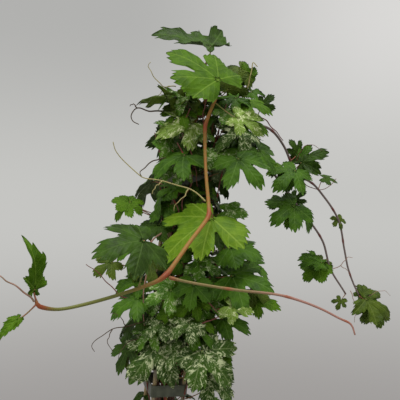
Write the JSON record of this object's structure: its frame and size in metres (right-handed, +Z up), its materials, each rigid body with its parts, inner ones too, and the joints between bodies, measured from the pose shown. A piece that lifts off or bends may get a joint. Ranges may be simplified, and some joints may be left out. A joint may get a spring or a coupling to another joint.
{
  "type": "potted porcelain vine",
  "caption": "Variegated porcelain vine climbing a small cane rack with plastic bands in a plain nursery pot, with runners, tendrils and lobed leaves.",
  "frame": {"origin": "centre of the pot's flat base, on the surface it stands on", "axes": "+Z up along the pot's axis, -Y the side the long runner hangs on, +X the side the rack leans to"},
  "size_m": [0.388, 0.3389, 0.5869],
  "materials": {
    "black_plastic": "satin",
    "potting_soil": "matt",
    "cane": "satin",
    "grey_plastic": "satin",
    "old_stem": "satin",
    "young_stem": "satin",
    "young_leaf": "satin",
    "dark_leaf": "satin",
    "marbled_leaf": "satin"
  },
  "bodies": {
    "root": {"pot": "black_plastic", "soil": "potting_soil", "cane_front_left": "cane", "cane_front_right": "cane", "cane_back_left": "cane", "cane_back_right": "cane", "band_lower": "grey_plastic", "band_upper": "grey_plastic", "vine_runner": "young_stem", "vine_top": "old_stem", "vine_far_long": "old_stem", "vine_far_short": "old_stem", "vine_back": "old_stem", "runner_tendril": "young_stem", "leaf_top": "dark_leaf", "leaf_crown_bright": "young_leaf", "leaf_front_middle": "young_leaf", "leaf_near_dark": "dark_leaf", "leaf_young_right": "young_leaf", "leaf_glossy": "dark_leaf", "leaf_left_marbled": "marbled_leaf", "leaf_left_dark": "dark_leaf", "leaf_left_wrinkled": "marbled_leaf", "leaf_left_smooth": "dark_leaf", "leaf_round_marbled": "marbled_leaf", "leaf_small_bright": "young_leaf", "leaf_right_high": "dark_leaf", "leaf_right_middle": "dark_leaf", "leaf_right_orange": "young_leaf", "leaf_right_low": "dark_leaf", "leaf_right_pale": "young_leaf", "leaf_left_mottled": "marbled_leaf", "leaf_middle_green": "dark_leaf", "leaf_left_pointed": "dark_leaf", "leaf_cream_left": "marbled_leaf", "leaf_cream_right": "marbled_leaf", "leaf_cream_low": "marbled_leaf", "leaf_cream_curl": "marbled_leaf", "leaf_hanging_olive": "dark_leaf", "leaf_top_right": "young_leaf", "leaf_right_green": "dark_leaf", "leaf_right_mass": "marbled_leaf", "leaf_far_high": "dark_leaf", "leaf_far_olive": "dark_leaf", "leaf_far_middle": "dark_leaf", "leaf_far_hanging": "dark_leaf", "leaf_far_low": "dark_leaf", "leaf_far_end": "young_leaf", "leaf_runner_tip": "young_leaf", "leaf_runner_low": "young_leaf", "leaf_back_01": "dark_leaf", "leaf_back_02": "marbled_leaf", "leaf_back_03": "dark_leaf", "leaf_back_04": "dark_leaf", "leaf_back_05": "marbled_leaf", "leaf_back_06": "dark_leaf", "leaf_back_07": "dark_leaf", "leaf_back_08": "marbled_leaf", "leaf_back_09": "dark_leaf", "leaf_back_10": "dark_leaf"}
  },
  "joints": []
}
